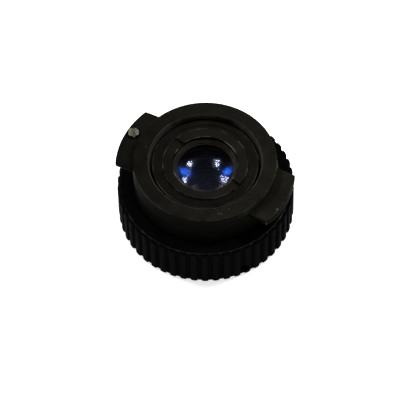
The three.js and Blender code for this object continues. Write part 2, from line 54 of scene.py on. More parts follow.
MEDIUM = 192        # facets round a plain ring
GLASS_FACETS = 96   # facets round a lens or the spacer between the lenses
SMALL = 48          # facets round screws and pins
EDGE = "edge_wear"  # mesh attribute: 1 on rounded edges, 0 on faces


# ---------------------------- sizes of nodes, in millimetres

def low(node):
    """Height of a node's bottom."""
    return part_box(node)[0].z / MM


def high(node):
    """Height of a node's top."""
    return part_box(node)[1].z / MM


def reach(node):
    """Outer radius of a turned node."""
    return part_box(node)[1].x / MM


def middle(node):
    """Centre of a node's box."""
    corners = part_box(node)
    return (corners[0] + corners[1]) / 2 / MM


# ---------------------------- dimensions, in millimetres and degrees

FACE = high("bayonet_body")
SPIGOT_RADIUS = 14.5
SPIGOT_HEIGHT = 1.8
SPIGOT_SLOPE = 0.9          # length of the slope between barrel and spigot
BARREL_RADIUS = 14.7
BORE_RADIUS = 11.3
BORE_STEP = 14.6            # height of the step below the wide part of the bore
GUIDE_RADIUS = 10.8         # narrow part of the bore, in which the lens barrel slides
MOUTH_CHAMFER = 0.3
MOUTH_THREAD_START = 0.4    # below the face
MOUTH_THREAD_TURNS = 3
MOUTH_THREAD_PITCH = 0.5
MOUTH_THREAD_DEPTH = 0.18

SKIRT_THREAD_RADIUS = 13.4
SKIRT_THREAD_TOP = 4.7
JOURNAL_RADIUS = 14.0       # the focusing ring turns on this
SHOULDER = 7.4
RELIEF_RADIUS = 11.6
RELIEF_TOP = 8.6

WING_TOP = FACE - SPIGOT_HEIGHT
WING_THICKNESS = 2.0
WING_BOTTOM = WING_TOP - WING_THICKNESS
WING_RADIUS = 18.25
WINGS = [(153.5, 14.0), (-29.0, 12.6)]   # middle angle and width
WING_ROOT = 2.0             # depth to which a wing is let into the barrel
WING_RAMP_LENGTH = 2.5
WING_RAMP_RISE = 0.8
WING_STEPS = 28
WING_ROUNDING = 0.14
WING_ROUNDING_AREA = 0.12   # faces of a wing's rounded edges are smaller than this

STOP_SCREW = middle("stop_screw")
STOP_SCREW_RADIUS = 1.12
STOP_SCREW_SHANK = 0.75
STOP_SCREW_SLOT_WIDTH = 0.42
STOP_SCREW_SLOT_DEPTH = 0.4
STOP_SCREW_SLOT_ANGLE = 95
STOP_SCREW_HOLE = 0.85
STOP_SCREW_SEAT = 1.34
STOP_SCREW_SEAT_DEPTH = 0.16

KEY_ANGLE = 90
KEY_HEIGHT = middle("key_screw").z
KEY_RADIUS = 1.0
KEY_ENDS = (11.1, 14.4)     # distances of a radial screw's ends from the axis
KEY_HOLE = 1.05
KEY_HOLE_ENDS = (10, 16)    # distances from the axis between which the hole is cut

RING_TOP = high("focus_ring")
RING_RADIUS = reach("focus_ring")
UPPER_LIP = 0.4
LOWER_LIP = 0.3
GRIP_RADIUS = 18.0
GRIP_BORE = 16.8
RIB_COUNT = 50
RIB_PHASE = 1.9             # angle of the first rib's crest
RIB_STEPS = 20              # facets across one rib's pitch
RIB_CREST = 0.24            # distance from a rib's middle to the crest's end, as a share of the pitch
RIB_FOOT = 0.40             # and to the flank's end
RIB_CROWN = 0.10            # share of the rise that the crest's own curve takes
RIB_ENDS = [(0.0, 0.72), (0.05, 0.88), (0.14, 0.97), (0.28, 1.0)]   # distance from a rib's end, rise there

GRUB_SCREWS = ["grub_screw_1", "grub_screw_2", "grub_screw_3"]
GRUB_ANGLES = [-65, 55, 175]
GRUB_HEIGHT = middle("grub_screw_1").z
GRUB_RADIUS = 0.75
GRUB_ENDS = (15.15, 16.65)
GRUB_HOLE = 0.8
GRUB_HOLE_ENDS = (14, 18)
GRUB_ACCESS = 0.95
GRUB_ACCESS_ENDS = (15, 19)

SET_SCREW_PITCH = 0.3
SET_SCREW_TIP = 0.2         # length of the taper
SET_SCREW_POINT = 0.6       # radius of the flat point, as a share of the screw's own
SET_SCREW_GROOVE = 0.86     # radius in the grooves, likewise
SET_SCREW_SLOT_WIDTH = 0.4  # likewise
SET_SCREW_SLOT_DEPTH = 0.45

LENS_BARREL_RADIUS = 10.7
LENS_BARREL_TOP = high("lens_barrel")
HELICOID_RADIUS = 9.45
RETAINING_RADIUS = reach("field_retaining_ring")
RETAINING_TOP = high("field_retaining_ring")
RETAINING_BORE = 6.56
SPANNER_SLOT_ANGLE = 137.0
SPANNER_SLOT_WIDTH = 1.7
SPANNER_SLOT_DEPTH = 0.45

# Height of a glass surface's vertex, its radius of curvature, and 1 for a dome or -1 for a bowl.
FIELD_FRONT = (14.9, 14, 1)
FIELD_CEMENTED = (13.3, 15, 1)
FIELD_BACK = (9.0, 13, -1)
EYE_FRONT = (7.7, 14, 1)
EYE_CEMENTED = (4.3, 10, -1)
EYE_BACK_HEIGHT = 3.35
CEMENT = 0.05
FLINT_RADIUS = 7.3
CROWN_RADIUS = 7.2
EYE_GLASS_RADIUS = 5.8
FIELD_APERTURE = 5.7
LENS_SEAT_GAP = 0.1
GLASS_STEPS = 14            # facets from a lens's axis to its rim

THROUGH = 1                 # cutting tools reach this far beyond what they cut
SLOT_LENGTH = 4             # longer than any screw head is wide


# ---------------------------- wear and dust

DUST_COLOUR = (0.10, 0.09, 0.07, 1.0)
PAINTED_LIGHT_TOWARDS = (0.6, -0.8, 0.0)   # direction towards which the film is painted lighter: painted light towards the front right
PAINTED_SHADE_AT_LEFT = (0.36, 1.0)         # share of the film at the far left and over the rest: painted shade at the left
CORNER_PAINTED_LIGHT = 1.9   # painted light on the shaded spigot wall in the corner over the narrow wing, as a share of the film on the faces

CHIPS = [   # radius, angle and height of each chip or rub in the coating, its size and how bare it is
    (11.6, -82, FACE, 0.18, 0.9),
    (13.0, -79, FACE, 0.15, 0.8),
    (13.25, -77, FACE, 0.14, 0.8),
    (12.6, -69, FACE, 0.14, 0.7),
    (12.55, 162.5, FACE, 0.24, 0.16),
    (17.9, -37.5, WING_TOP, 0.24, 1.0),
    # The last entry is no chip: a broad faint pale patch at the narrow wing's end by the spigot, painted
    # light over the shade there.
    (16.2, -50, WING_TOP, 3.2, 0.035),
]

# Changes across a piece: a direction, two places along it in millimetres, and any values at these places.
WORN_ALL_ROUND = ((0.0, 0.0, 0.0), -1.0, 0.0)
WORN_IN_FRONT = ((0.2, -1.0, 0.0), -1.0, 6.0)
WORN_LIP = ((0.0, -1.0, 0.0), 6.0, 9.5)
# Painted shade: the last three blend a piece's colour towards near-black along a direction, from the first
# share to the second.
NO_PAINTED_SHADE = ((0.0, 0.0, 0.0), 0.0, 1.0, 0.0, 0.0)
PAINTED_SHADE_BACK_RIGHT = ((0.83, 0.56, 0.0), 9.0, 13.0, 0.0, 0.75)
PAINTED_SHADE_IN_FRONT = ((0.0, -1.0, 0.0), 5.0, 9.5, 0.0, 0.35)


# Places on the lenses, in millimetres from the axis.
GLINT_TINT_BAND = 2.1                 # the band coat, a painted reflection tint, has its full colour along a band as far behind the axis as this
GLINT_TINT_BAND_WIDTH = (1.9, 0.9)    # and gains it between these distances from the band's middle
GLINT_TINT_SIDES = (1.2, 4.0)         # and between these distances to either side of the axis
HAZE_ENDS = (-4.5, 0.5)         # the haze changes from its near share to its far one between these


# ---------------------------- floor, lights and camera

FLOOR_SIZE = 1500           # from the axis to each edge, in millimetres
FLOOR_GLOW = 0.80
FLOOR_PAINTED_SHADOW = (17.0, 17.4)   # the floor's glow starts between these distances from the axis, in millimetres; inside them it is left out, a painted shadow under the eyepiece
WORLD = 0.12                # strength of the soft light from all round
HORIZON = 1.0               # and of the white wall along the horizon
HORIZON_BAND = (0.03, 0.08)  # sines of the elevations between which the wall ends
LIGHT_DISTANCE = 0.9        # in metres
SOFTBOXES = [   # direction from the object, width and height in metres, power in watts
    ("back_left", (-0.34, 0.73, 0.60), 0.10, 0.24, 2.6),
    ("back_right", (0.257, 0.70, 0.655), 0.085, 0.24, 2.3),
    ("side_left", (-0.575, 0.255, 0.778), 0.19, 0.17, 4.0),
    ("side_right", (0.53, 0.235, 0.81), 0.28, 0.18, 5.0),
]
CAMERA_DISTANCE = 0.6264    # from the origin, in metres
CAMERA_ELEVATION = 56.44    # in degrees
CAMERA_LENS = 273.4         # focal length in millimetres
CAMERA_TRIM = (0.164, 0.114, -1.229)   # last turns about the camera's own X, Y and Z axes, in degrees


# ---------------------------- mesh helpers

def link_mesh(name, mesh):
    piece = bpy.data.objects.new(name, mesh)
    bpy.context.scene.collection.objects.link(piece)
    return piece


def rounded(outline, steps=4):
    """Points of a closed outline whose corners are (radius, height, rounding) and a share of edge wear.

    A rounding takes up less than half of either side, and an unworn point on each side of it keeps the wear
    from spreading over the faces.
    """
    points = []
    for i, (r, z, size, *wear) in enumerate(outline):
        worn = wear[0] if wear else 1.0
        corner = Vector((r, z))
        if not size:
            points.append((r, z, 0.0))
            continue
        before = Vector(outline[i - 1][:2]) - corner
        after = Vector(outline[(i + 1) % len(outline)][:2]) - corner
        size = min(size, 0.45 * before.length, 0.45 * after.length)
        start = corner + before.normalized() * size
        end = corner + after.normalized() * size
        lead = corner + before.normalized() * min(1.4 * size, 0.49 * before.length)
        tail = corner + after.normalized() * min(1.4 * size, 0.49 * after.length)
        points.append((*lead, 0.0))
        for step in range(steps + 1):
            t = step / steps
            place = start * (1 - t) ** 2 + corner * 2 * t * (1 - t) + end * t ** 2
            points.append((*place, worn))
        points.append((*tail, 0.0))
    return points


def lathe_bmesh(points, segments):
    """Turns a closed outline of (radius, height, wear) about the Z axis."""
    bm = bmesh.new()
    wear = bm.verts.layers.float.new(EDGE)
    columns = []
    for segment in range(segments):
        angle = TURN * segment / segments
        column = []
        for r, z, worn in points:
            vertex = bm.verts.new((r * cos(angle), r * sin(angle), z))
            vertex[wear] = worn
            column.append(vertex)
        columns.append(column)
    count = len(points)
    for segment in range(segments):
        here, there = columns[segment], columns[(segment + 1) % segments]
        for i in range(count):
            j = (i + 1) % count
            if points[i][0] == 0 and points[j][0] == 0:
                continue
            bm.faces.new((here[i], there[i], there[j], here[j]))
    bmesh.ops.remove_doubles(bm, verts=bm.verts, dist=1e-6)
    bmesh.ops.dissolve_degenerate(bm, edges=bm.edges, dist=1e-6)
    bmesh.ops.recalc_face_normals(bm, faces=bm.faces)
    return bm


def piece_from(bm, name):
    """An object made of a mesh in millimetres."""
    mesh = bpy.data.meshes.new(name)
    bm.transform(Matrix.Scale(MM, 4))
    bm.to_mesh(mesh)
    bm.free()
    return link_mesh(name, mesh)


def lathe(name, outline, segments=FINE):
    """A turned piece, from the corners of its closed outline."""
    return piece_from(lathe_bmesh(rounded(outline), segments), name)


def smooth(piece, angle=32):
    """Shades a piece smooth, apart from edges that turn by more than the angle."""
    piece.data.shade_smooth()
    piece.data.set_sharp_from_angle(angle=radians(angle))


def boolean(piece, tools, operation):
    """Joins the tools to a piece or cuts them out of it, and removes them."""
    for tool in tools:
        modifier = piece.modifiers.new(operation, "BOOLEAN")
        modifier.operation = operation
        modifier.solver = "EXACT"
        modifier.object = tool
    evaluated = piece.evaluated_get(bpy.context.evaluated_depsgraph_get())
    mesh = bpy.data.meshes.new_from_object(evaluated)
    piece.modifiers.clear()
    piece.data = mesh
    for tool in tools:
        bpy.data.objects.remove(tool)


def rod(name, radius, start, end):
    """A plain round bar between two points in millimetres, used only as a cutting tool."""
    start, end = Vector(start), Vector(end)
    bm = bmesh.new()
    turn = (end - start).to_track_quat("Z", "Y").to_matrix().to_4x4()
    place = Matrix.Translation((start + end) / 2) @ turn
    bmesh.ops.create_cone(bm, cap_ends=True, segments=SMALL, radius1=radius, radius2=radius,
                          depth=(end - start).length, matrix=place)
    return piece_from(bm, name)


def block(name, size, place, angle=0.0):
    """A plain box turned about the Z axis, used only as a cutting tool."""
    bm = bmesh.new()
    matrix = Matrix.Translation(place) @ Matrix.Rotation(radians(angle), 4, "Z")
    bmesh.ops.create_cube(bm, size=1, matrix=matrix @ Matrix.Diagonal((*size, 1)))
    return piece_from(bm, name)


def polar(r, angle, z):
    """Point at a distance from the axis, an angle in degrees and a height."""
    return Vector((r * cos(radians(angle)), r * sin(radians(angle)), z))


def above(place, height):
    """The point at a height over or under a place."""
    return Vector(place) + Vector((0, 0, height))


def show(piece, body, slot_name, materials, *nodes):
    """Gives a finished piece its material, or list of them, its body and the nodes that it stands for."""
    piece.data.materials.clear()
    for material in materials if isinstance(materials, list) else [materials]:
        piece.data.materials.append(material)
    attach(piece, body)
    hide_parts(*nodes)
    return piece


# ---------------------------- materials

class Shader:
    """A node material with one Principled shader and short calls for the nodes that feed it."""

    def __init__(self, name, **sockets):
        self.material = bpy.data.materials.new(name)
        self.material.use_nodes = True
        self.tree = self.material.node_tree
        self.principled = self.tree.nodes["Principled BSDF"]
        for socket, value in sockets.items():
            self.set(socket.replace("_", " "), value)

    def set(self, socket, value):
        """Sets a Principled socket to a value, or links it to another node's output."""
        target = self.principled.inputs[socket]
        if isinstance(value, bpy.types.NodeSocket):
            self.tree.links.new(value, target)
        else:
            target.default_value = value

    def add(self, kind, inputs=(), **settings):
        """A new node with its settings, and its inputs given by index or name as values or outputs."""
        node = self.tree.nodes.new(kind)
        for key, value in settings.items():
            setattr(node, key, value)
        for key, value in dict(inputs).items():
            if isinstance(value, bpy.types.NodeSocket):
                self.tree.links.new(value, node.inputs[key])
            else:
                node.inputs[key].default_value = value
        return node

    def place(self):
        """Position on the piece, in millimetres."""
        coordinates = self.add("ShaderNodeTexCoord").outputs["Object"]
        return self.add("ShaderNodeVectorMath", {0: coordinates, 3: 1 / MM}, operation="SCALE").outputs[0]

    def math(self, operation, a, b=0.0, clamp=False):
        return self.add("ShaderNodeMath", {0: a, 1: b}, operation=operation, use_clamp=clamp).outputs[0]

    def noise(self, place, scale, detail=4.0, rough=0.55):
        inputs = {"Vector": place, "Scale": scale, "Detail": detail, "Roughness": rough}
        return self.add("ShaderNodeTexNoise", inputs).outputs[0]

    def spread(self, value, low_in, high_in, low_out=0.0, high_out=1.0):
        """Value mapped from one range to another and held inside it."""
        inputs = {0: value, 1: low_in, 2: high_in, 3: low_out, 4: high_out}
        return self.add("ShaderNodeMapRange", inputs).outputs[0]

    def mix(self, share, a, b):
        """Colour that lies a share of the way from a to b."""
        return self.add("ShaderNodeMix", {0: share, 6: a, 7: b}, data_type="RGBA").outputs[2]

    def radius(self, place):
        """Distance from the optical axis, in millimetres."""
        flat = self.add("ShaderNodeVectorMath", {0: place, 1: (1.0, 1.0, 0.0)}, operation="MULTIPLY")
        return self.add("ShaderNodeVectorMath", {0: flat.outputs[0]}, operation="LENGTH").outputs["Value"]

    def turning_marks(self, place, pitch):
        """Irregular grooves round the axis, on faces and walls alike, about a pitch apart."""
        height = self.add("ShaderNodeSeparateXYZ", {0: place}).outputs[2]
        along = self.math("ADD", self.radius(place), self.math("MULTIPLY", height, 1.17))
        inputs = {"W": along, "Scale": 1 / pitch, "Detail": 2.0}
        return self.add("ShaderNodeTexNoise", inputs, noise_dimensions="1D").outputs[0]

    def rise(self):
        """Height component of the surface's normal."""
        normal = self.add("ShaderNodeNewGeometry").outputs["Normal"]
        return self.add("ShaderNodeSeparateXYZ", {0: normal}).outputs[2]

    def upward(self):
        """1 where the surface faces up, 0 on walls and undersides."""
        return self.spread(self.rise(), 0.45, 0.95)

    def wear(self, place, gaps):
        """Worn share of the surface: rounded edges, fading in and out along them, and no flat tops."""
        edge = self.add("ShaderNodeAttribute", attribute_name=EDGE).outputs["Fac"]
        edge = self.math("MULTIPLY", edge, self.spread(self.rise(), 0.970, 0.995, 1.0, 0.0))
        patches = self.spread(self.noise(place, 0.35, 3.0, 0.5), 0.22 + 0.4 * gaps, 0.60 + 0.2 * gaps)
        return self.math("MULTIPLY", edge, patches, clamp=True)

    def specks(self, place, scale, size):
        """Sparse dust specks."""
        cells = self.add("ShaderNodeTexVoronoi", {"Vector": place, "Scale": scale}, feature="F1")
        near = self.spread(cells.outputs["Distance"], size, size * 0.5)
        chosen = self.spread(cells.outputs["Color"], 0.93, 0.94)
        return self.math("MULTIPLY", near, chosen)

    def across(self, place, direction, *limits):
        """Value that changes along a direction, between two places in millimetres from the axis."""
        along = self.add("ShaderNodeVectorMath", {0: place, 1: direction}, operation="DOT_PRODUCT")
        return self.spread(along.outputs["Value"], *limits)

    def painted_light_and_shade(self, place, reach):
        """Painted light and shade across the piece: the film is cut at the left and raised towards the front
        right.
        """
        left = self.across(place, (1.0, 0.0, 0.0), -reach, -0.3 * reach, *PAINTED_SHADE_AT_LEFT)
        return self.math("MULTIPLY", left, self.across(place, PAINTED_LIGHT_TOWARDS, -14.0, 14.0, 0.85, 1.18))

    def corner(self, place):
        """Painted light on the spigot's wall in the shaded corner over the narrow wing, laid on as dust
        film.
        """
        beside = self.across(place, (0.87, -0.48, 0.0), 11.5, 13.5)
        over = self.across(place, (0.0, 0.0, 1.0), WING_TOP + 0.05, WING_TOP + 0.15)
        upright = self.spread(self.rise(), 0.6, 0.3, 0.0, CORNER_PAINTED_LIGHT)
        return self.math("MULTIPLY", self.math("MULTIPLY", beside, over), upright)

    def chips(self, place):
        """Small bright chips where the black coating is knocked off, and one broad faint patch of painted
        light.
        """
        total = 0.0
        for r, angle, z, size, bare in CHIPS:
            gap = self.add("ShaderNodeVectorMath", {0: place, 1: polar(r, angle, z)}, operation="DISTANCE")
            spot = self.spread(gap.outputs["Value"], size, 0.4 * size, 0.0, bare)
            total = self.math("ADD", total, spot)
        return total

    def bump(self, height, depth):
        """Bump of the given depth in millimetres."""
        inputs = {"Height": height, "Strength": 1.0, "Distance": depth * MM}
        self.set("Normal", self.add("ShaderNodeBump", inputs).outputs[0])


def colour(r, g, b):
    return (r, g, b, 1.0)


def scaled(base, share):
    return (base[0] * share, base[1] * share, base[2] * share, 1.0)


def dust_film(shader, place, blotches, grooves, facing, reach):
    """Share of dust film: cloudy and streaked along the turning marks, with painted light and shade that
    make it lighter towards one side.
    """
    clouds = shader.spread(blotches, 0.32, 0.70, 0.68, 1.30)
    streaks = shader.spread(grooves, 0.30, 0.72, 0.84, 1.14)
    uneven = shader.spread(shader.noise(place, 2.6, 3.0), 0.3, 0.7, 0.78, 1.22)
    streaks = shader.math("MULTIPLY", streaks, uneven)
    share = shader.math("MULTIPLY", facing, shader.math("MULTIPLY", clouds, streaks))
    return shader.math("MULTIPLY", share, shader.painted_light_and_shade(place, reach))


def anodised(name, base, film, worn, roughness=0.42, specular=0.006, gaps=0.3, marks=0.12, reach=17.0,
             worn_side=WORN_ALL_ROUND, painted_shade_side=NO_PAINTED_SHADE, chipped=False):
    """Black anodised, turned aluminium: mottled, dusty on top and polished along its edges.

    The base, the dust film and the worn edges have a colour each. Gaps is how much of the edges stays
    unworn, marks is the pitch of the turning marks, and reach is the radius over which the film's painted
    light and shade change. The painted-shade side darkens the colour as painted shade, and a chipped piece
    also gets painted light on the wall in the corner over the narrow wing.
    """
    shader = Shader(name, Specular_IOR_Level=specular)
    place = shader.place()
    grooves = shader.turning_marks(place, marks)
    blotches = shader.noise(place, 0.35, 5.0, 0.6)
    grain = shader.noise(place, 9.0, 3.0)
    wear = shader.math("MULTIPLY", shader.wear(place, gaps), shader.across(place, *worn_side))
    dust = shader.specks(place, 0.8, 0.10)
    facing = shader.upward()
    if chipped:
        dust = shader.math("ADD", dust, shader.chips(place), clamp=True)
        # Painted light: the film is spread onto the shaded wall in the corner over the narrow wing.
        facing = shader.math("MAXIMUM", facing, shader.corner(place))

    black = shader.mix(shader.spread(blotches, 0.35, 0.68), scaled(base, 0.75), scaled(base, 1.3))
    # The film's share carries painted light and shade: lighter towards the front right, darker at the left.
    share = dust_film(shader, place, blotches, grooves, facing, reach)
    body = shader.mix(shader.math("MULTIPLY", share, 0.5, clamp=True), black, scaled(film, 2.0))
    # Painted shade: the colour is blended towards near-black along the painted-shade side.
    body = shader.mix(shader.across(place, *painted_shade_side), body, colour(0.0002, 0.0002, 0.0002))
    body = shader.mix(wear, body, worn)
    body = shader.mix(shader.math("MULTIPLY", dust, shader.upward()), body, DUST_COLOUR)
    shader.set("Base Color", body)
    shader.set("Metallic", shader.math("MULTIPLY", wear, 0.9))

    varied = shader.math("ADD", shader.math("MULTIPLY", blotches, 0.16),
                         shader.math("MULTIPLY", grooves, 0.12))
    varied = shader.math("SUBTRACT", varied, shader.math("MULTIPLY", wear, 0.10))
    shader.set("Roughness", shader.math("ADD", varied, roughness - 0.14, clamp=True))
    shader.bump(shader.math("ADD", grooves, shader.math("MULTIPLY", grain, 0.35)), 0.006)
    return shader.material


def ribbed_grip():
    """Dull black moulded grip, slightly green, with fine grain, paler crests and painted shade towards the
    right.
    """
    shader = Shader("ribbed_grip", Specular_IOR_Level=0.002)
    place = shader.place()
    grain = shader.noise(place, 14.0, 3.0)
    cloud = shader.noise(place, 0.6, 4.0)
    crest = shader.wear(place, 0.1)
    body = shader.mix(cloud, colour(0.0013, 0.0016, 0.0015), colour(0.0026, 0.0031, 0.0028))
    body = shader.mix(shader.math("MULTIPLY", crest, 0.7), body, colour(0.0034, 0.0038, 0.0034))
    # Painted shade: the grip is darkened towards the right.
    painted_shade = shader.across(place, (1.0, 0.0, 0.0), 9.0, 16.0, 0.0, 0.75)
    shader.set("Base Color", shader.mix(painted_shade, body, colour(0.0006, 0.0007, 0.0006)))
    shader.set("Roughness", shader.spread(cloud, 0.3, 0.7, 0.42, 0.60))
    shader.bump(grain, 0.008)
    return shader.material


def bare_metal(name, base, tarnish, roughness=0.34, marks=0.05):
    """Turned steel or brass with fine machining marks and tarnish."""
    shader = Shader(name, Metallic=1.0)
    place = shader.place()
    grooves = shader.turning_marks(place, marks)
    stains = shader.noise(place, 1.6, 6.0, 0.62)
    shader.set("Base Color", shader.mix(shader.spread(stains, 0.45, 0.75), base, tarnish))
    shader.set("Roughness", shader.spread(stains, 0.3, 0.8, roughness, roughness + 0.25))
    shader.bump(shader.math("ADD", grooves, shader.math("MULTIPLY", stains, 0.5)), 0.005)
    return shader.material


def black_felt():
    """Dense black felt with short fibres."""
    shader = Shader("black_felt", Specular_IOR_Level=0.01, Sheen_Weight=0.05)
    place = shader.place()
    fibres = shader.noise(place, 18.0, 8.0, 0.75)
    shader.set("Base Color", shader.mix(fibres, colour(0.002, 0.002, 0.002), colour(0.010, 0.010, 0.009)))
    shader.set("Roughness", shader.spread(fibres, 0.2, 0.8, 0.85, 1.0))
    shader.bump(fibres, 0.05)
    return shader.material


def lens_glass(name, band_coat, middle_coat, clearness, haze=(0.03, 0.03), polish=0.03):
    """Clear glass with an anti-reflection coating.

    The surface is almost transparent; the rest of it reflects in the middle coat's colour, and in the band
    coat's colour along a band behind the axis and to either side of it, a painted reflection tint where the
    side lights' reflections fall. A hazy share of it scatters light: one share at the near edge, one at the
    far edge.
    """
    shader = Shader(name)
    place = shader.place()
    smears = shader.noise(place, 0.7, 4.0, 0.6)
    dust = shader.specks(place, 1.6, 0.06)
    split = shader.add("ShaderNodeSeparateXYZ", {0: place})
    # Painted reflection tint: the band coat's colour is laid only where the side lights' reflections fall.
    sideways = shader.spread(shader.math("ABSOLUTE", split.outputs[0]), *GLINT_TINT_SIDES)
    band = shader.math("ABSOLUTE", shader.math("SUBTRACT", split.outputs[1], GLINT_TINT_BAND))
    glint_tint = shader.math("MULTIPLY", sideways, shader.spread(band, *GLINT_TINT_BAND_WIDTH))
    shader.set("Base Color", shader.mix(glint_tint, middle_coat, band_coat))
    scatter = shader.across(place, (0.0, 1.0, 0.0), *HAZE_ENDS, *haze)
    scatter = shader.math("MULTIPLY", scatter, shader.spread(smears, 0.3, 0.7, 0.8, 1.2))
    shader.set("Metallic", shader.math("SUBTRACT", 1.0, scatter, clamp=True))
    shader.set("Roughness", shader.spread(smears, 0.3, 0.8, polish, polish + 0.06))
    film = shader.spread(smears, 0.2, 0.8, 0.95 * (1 - clearness), 1.05 * (1 - clearness))
    shader.set("Alpha", shader.math("ADD", film, shader.math("MULTIPLY", dust, 0.03), clamp=True))
    return shader.material


def ringed(name, dark, pale, pitch, heights=(-1.0, 0.0)):
    """Ground or rough-turned wall with rings about a pitch apart, growing stronger between two heights; on
    the spacer the pale rings are painted light.
    """
    shader = Shader(name, Specular_IOR_Level=0.02)
    place = shader.place()
    grain = shader.noise(place, 12.0, 4.0)
    rings = shader.spread(shader.turning_marks(place, pitch), 0.35, 0.65)
    share = shader.math("MULTIPLY", rings, shader.spread(grain, 0.1, 0.5, 0.6, 1.0))
    share = shader.math("MULTIPLY", share, shader.across(place, (0.0, 0.0, 1.0), *heights))
    shader.set("Base Color", shader.mix(share, dark, pale))
    shader.set("Roughness", shader.spread(grain, 0.3, 0.7, 0.6, 0.9))
    shader.bump(rings, 0.02)
    return shader.material


def pale_floor():
    """Pale, faintly glowing light table, with its glow left out where the eyepiece stands on it: a painted
    shadow.
    """
    shader = Shader("pale_floor", Specular_IOR_Level=0.0, Emission_Strength=FLOOR_GLOW)
    place = shader.place()
    cloud = shader.noise(place, 0.02, 3.0)
    pale = shader.mix(cloud, colour(0.90, 0.90, 0.895), colour(0.92, 0.92, 0.915))
    shader.set("Base Color", pale)
    away = shader.add("ShaderNodeVectorMath", {0: place}, operation="LENGTH").outputs["Value"]
    # Painted shadow: no glow under the eyepiece.
    glow = shader.mix(shader.spread(away, *FLOOR_PAINTED_SHADOW), colour(0.0, 0.0, 0.0), pale)
    shader.set("Emission Color", glow)
    shader.set("Roughness", shader.spread(cloud, 0.2, 0.8, 0.75, 0.85))
    return shader.material


def finishes():
    """The materials of all pieces, by name."""
    black_base, black_film = colour(0.0022, 0.0021, 0.0018), colour(0.0062, 0.0058, 0.0042)
    # blue_glint_tint is a painted blue reflection colour, laid on the back glass only along the band.
    front_coat, blue_glint_tint = colour(0.110, 0.126, 0.205), colour(0.0024, 0.036, 0.265)
    cement = colour(0.3, 0.3, 0.3)
    return {
        "body": anodised("black_anodised", black_base, black_film, colour(0.040, 0.037, 0.030),
                         gaps=0.4, worn_side=WORN_IN_FRONT, chipped=True),
        "wing_edge": anodised("dull_anodised", black_base, black_film, colour(0.016, 0.015, 0.012),
                              specular=0.0015, worn_side=WORN_IN_FRONT),
        # Painted light on the bore's mouth and on the barrel's wall in the gap below it, which lie in shade:
        # a paler base and film. The metallic colour on the thread's crests is wear.
        "thread": anodised("thread_wear_and_painted_light", colour(0.0165, 0.0150, 0.0115), colour(0.0230, 0.0210, 0.0160),
                           colour(0.130, 0.120, 0.102), gaps=0.1, reach=12.0),
        "ring": anodised("ring_anodised", colour(0.0014, 0.0014, 0.0013), colour(0.0016, 0.0016, 0.0015),
                         colour(0.014, 0.014, 0.0135), gaps=0.0, worn_side=WORN_LIP,
                         painted_shade_side=PAINTED_SHADE_BACK_RIGHT),
        "inner": anodised("inner_anodised", colour(0.0032, 0.0030, 0.0024), colour(0.0062, 0.0058, 0.0043),
                          colour(0.170, 0.155, 0.130), gaps=0.55, marks=0.09, reach=10.0),
        "matt": anodised("black_matt", colour(0.0020, 0.0020, 0.0019), colour(0.0030, 0.0030, 0.0028),
                         colour(0.012, 0.012, 0.011), roughness=0.55),
        "barrel": anodised("barrel_anodised", colour(0.0024, 0.0023, 0.0020),
                           colour(0.0042, 0.0039, 0.0031), colour(0.030, 0.028, 0.024), marks=0.09,
                           painted_shade_side=PAINTED_SHADE_IN_FRONT),
        "bevel": anodised("bevel_anodised", colour(0.0130, 0.0120, 0.0095), colour(0.0140, 0.0130, 0.0102),
                          colour(0.075, 0.070, 0.060), gaps=0.0, marks=0.07),
        "grip": ribbed_grip(),
        "felt": black_felt(),
        "steel": bare_metal("screw_steel", colour(0.085, 0.080, 0.058), colour(0.045, 0.042, 0.030)),
        "brass": bare_metal("nut_brass", colour(0.36, 0.25, 0.10), colour(0.12, 0.08, 0.04)),
        # Painted light: the spacer's upper part, in shade under the clamp ring, gets pale turning rings.
        "spacer": ringed("spacer_painted_light_rings", colour(0.014, 0.014, 0.018), colour(0.070, 0.072, 0.084), 0.5,
                         heights=(9.0, 10.6)),
        "ground": ringed("ground_edge", colour(0.030, 0.030, 0.033), colour(0.26, 0.255, 0.25), 0.35),
        "front_glass": lens_glass("coated_glass", front_coat, front_coat, 0.85,
                                  haze=(0.30, 0.03), polish=0.08),
        "back_glass": lens_glass("glass_with_painted_blue_glints", blue_glint_tint, colour(0.017, 0.0175, 0.024), 0.85,
                                 polish=0.12),
        "cemented": lens_glass("cemented_glass", cement, cement, 0.997),
    }


# ---------------------------- bayonet body

def wing(angle, width):
    """One bayonet wing: flat on top, with a lead-in ramp under each end."""
    half = width / 2
    root = BARREL_RADIUS - WING_ROOT
    flat = half - WING_RAMP_LENGTH
    places = {-half + width * i / WING_STEPS for i in range(WING_STEPS + 1)}
    bm = bmesh.new()
    sections = []
    for u in sorted(places | {-flat, flat}):
        bottom = WING_BOTTOM + WING_RAMP_RISE * max(0.0, (abs(u) - flat) / WING_RAMP_LENGTH)
        outer = sqrt(WING_RADIUS ** 2 - u ** 2)
        corners = [(root, u, bottom), (outer, u, bottom), (outer, u, WING_TOP), (root, u, WING_TOP)]
        sections.append([bm.verts.new(c) for c in corners])
    for here, there in zip(sections, sections[1:]):
        for i in range(4):
            j = (i + 1) % 4
            bm.faces.new((here[i], here[j], there[j], there[i]))
    bm.faces.new(sections[0])
    bm.faces.new(sections[-1])
    bmesh.ops.recalc_face_normals(bm, faces=bm.faces)
    sharp = [e for e in bm.edges if e.calc_face_angle(0) > radians(40)]
    bmesh.ops.bevel(bm, geom=sharp, offset=WING_ROUNDING, segments=3, profile=0.5, affect="EDGES")
    bm.transform(Matrix.Rotation(radians(angle), 4, "Z"))
    return piece_from(bm, "wing_tool")


def wear_wings(mesh):
    """Marks the rounded edges of the wings as worn and their faces as not."""
    largest = [0.0] * len(mesh.vertices)
    for face in mesh.polygons:
        for i in face.vertices:
            largest[i] = max(largest[i], face.area / MM ** 2)
    wear = mesh.attributes[EDGE].data
    for vertex in mesh.vertices:
        if vertex.co.xy.length / MM > BARREL_RADIUS + 0.05:
            wear[vertex.index].value = 1.0 if largest[vertex.index] < WING_ROUNDING_AREA else 0.0


